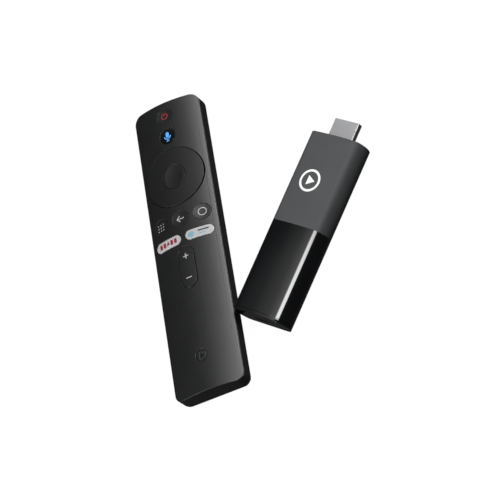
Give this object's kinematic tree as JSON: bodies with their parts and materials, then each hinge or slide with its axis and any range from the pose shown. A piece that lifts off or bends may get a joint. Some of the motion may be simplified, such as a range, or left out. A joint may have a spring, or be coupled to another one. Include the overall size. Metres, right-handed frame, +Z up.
{
  "type": "streaming media player",
  "caption": "Television streaming stick with a video plug on one end and a power socket on the other, and its slim crowned remote control with sprung keys.",
  "frame": {"origin": "middle of the remote's flat back, on the table that the remote and the stick lie on", "axes": "+Y along the remote towards its power button, +X to the right of its keys, +Z up out of the keys"},
  "size_m": [0.1164, 0.158, 0.0154],
  "materials": {
    "face_plastic": "fine satin texture, dark grey",
    "shell_plastic": "fine texture, near black",
    "key_plastic": "smooth satin, dark grey",
    "key_gloss": "polished black",
    "light_key": "smooth satin, light grey",
    "mark_gloss": "polished black",
    "keypad_rubber": "matt silicone",
    "spring_steel": "nickel plated",
    "contact_steel": "nickel plated",
    "cell_jacket": "printed film over a steel can",
    "board_laminate": "solder mask over glass laminate",
    "chip_resin": "moulded resin",
    "tin_shield": "tin plated",
    "screw_steel": "black zinc",
    "sleeve_matte": "fine satin texture, dark grey",
    "sleeve_gloss": "polished black",
    "badge_bright": "bright foil",
    "tray_plastic": "plain moulded",
    "spreader_metal": "plain rolled",
    "pad_silicone": "soft silicone",
    "plug_nickel": "satin nickel",
    "insulator_plastic": "glass filled",
    "pin_gold": "gold plated",
    "coil_ferrite": "pressed ferrite",
    "antenna_film": "copper on film",
    "lamp_clear": "clear moulded",
    "lamp_white": "ceramic"
  },
  "bodies": {
    "remote": {"face_plate": "face_plastic", "face_mark": "mark_gloss", "lower_shell": "shell_plastic", "battery_cells": "cell_jacket", "battery_springs": "spring_steel", "battery_contact_plates": "contact_steel", "remote_board": "board_laminate", "remote_radio_chip": "chip_resin", "remote_crystal": "tin_shield", "remote_small_parts": "chip_resin", "microphone": "tin_shield", "board_screws": "screw_steel", "snap_domes": "spring_steel", "keypad_membrane": "keypad_rubber"},
    "power_button": {"power_button": "key_plastic"},
    "voice_button": {"voice_button": "key_gloss"},
    "apps_button": {"apps_button": "key_plastic"},
    "back_button": {"back_button": "key_plastic"},
    "home_button": {"home_button": "key_plastic"},
    "left_shortcut_key": {"left_shortcut_key": "light_key"},
    "right_shortcut_key": {"right_shortcut_key": "light_key"},
    "ok_button": {"ok_button": "key_plastic"},
    "direction_web": {"direction_web": "keypad_rubber"},
    "direction_ring": {"direction_ring": "key_plastic"},
    "volume_rocker": {"volume_rocker": "face_plastic"},
    "battery_cover": {"battery_cover": "shell_plastic"},
    "stick": {"front_sleeve": "sleeve_matte", "front_badge": "badge_bright", "rear_sleeve": "sleeve_gloss", "end_cap": "sleeve_gloss", "board_tray": "tray_plastic", "stick_board": "board_laminate", "processor": "chip_resin", "memory_chips": "chip_resin", "storage_chip": "chip_resin", "thermal_pad": "pad_silicone", "heat_spreader": "spreader_metal", "radio_shield": "tin_shield", "radio_chip": "chip_resin", "clock_crystal": "tin_shield", "power_coils": "coil_ferrite", "antenna_strip": "antenna_film", "plug_shell": "plug_nickel", "plug_insulator": "insulator_plastic", "plug_pins": "pin_gold", "socket_shell": "plug_nickel", "socket_tongue": "insulator_plastic", "socket_contacts": "pin_gold", "light_pipe": "lamp_clear", "status_lamp": "lamp_white"}
  },
  "joints": [
    {"name": "power_button_press", "type": "slide", "parent": "remote", "child": "power_button", "axis": [0, 0, -1], "range_m": [0, 0.0006], "stiffness_N_per_m": 900, "springref_m": -0.0004},
    {"name": "voice_button_press", "type": "slide", "parent": "remote", "child": "voice_button", "axis": [0, 0, -1], "range_m": [0, 0.0006], "stiffness_N_per_m": 900, "springref_m": -0.0004},
    {"name": "ok_button_press", "type": "slide", "parent": "remote", "child": "ok_button", "axis": [0, 0, -1], "range_m": [0, 0.0006], "stiffness_N_per_m": 900, "springref_m": -0.0004},
    {"name": "apps_button_press", "type": "slide", "parent": "remote", "child": "apps_button", "axis": [0, 0, -1], "range_m": [0, 0.0006], "stiffness_N_per_m": 900, "springref_m": -0.0004},
    {"name": "back_button_press", "type": "slide", "parent": "remote", "child": "back_button", "axis": [0, 0, -1], "range_m": [0, 0.0006], "stiffness_N_per_m": 900, "springref_m": -0.0004},
    {"name": "home_button_press", "type": "slide", "parent": "remote", "child": "home_button", "axis": [0, 0, -1], "range_m": [0, 0.0006], "stiffness_N_per_m": 900, "springref_m": -0.0004},
    {"name": "left_shortcut_key_press", "type": "slide", "parent": "remote", "child": "left_shortcut_key", "axis": [0, 0, -1], "range_m": [0, 0.0006], "stiffness_N_per_m": 900, "springref_m": -0.0004},
    {"name": "right_shortcut_key_press", "type": "slide", "parent": "remote", "child": "right_shortcut_key", "axis": [0, 0, -1], "range_m": [0, 0.0006], "stiffness_N_per_m": 900, "springref_m": -0.0004},
    {"name": "direction_tilt_forward", "type": "hinge", "parent": "remote", "child": "direction_web", "pos_m": [0, 0.0363, 0.0106], "axis": [1, 0, 0], "range_deg": [-1.8, 1.8], "stiffness_Nm_per_rad": 0.35},
    {"name": "direction_tilt_side", "type": "hinge", "parent": "direction_web", "child": "direction_ring", "pos_m": [0, 0.0363, 0.0106], "axis": [0, 1, 0], "range_deg": [-1.8, 1.8], "stiffness_Nm_per_rad": 0.35},
    {"name": "volume_rock", "type": "hinge", "parent": "remote", "child": "volume_rocker", "pos_m": [0, -0.0139, 0.01069], "axis": [1, 0, 0], "range_deg": [-2.5, 2.5], "stiffness_Nm_per_rad": 0.35},
    {"name": "battery_cover_slide", "type": "slide", "parent": "remote", "child": "battery_cover", "axis": [0, -1, 0], "range_m": [0, 0.065]},
    {"name": "stick_lift", "type": "slide", "parent": "remote", "child": "stick", "axis": [0, 0, 1], "range_m": [0, 0.06]}
  ]
}
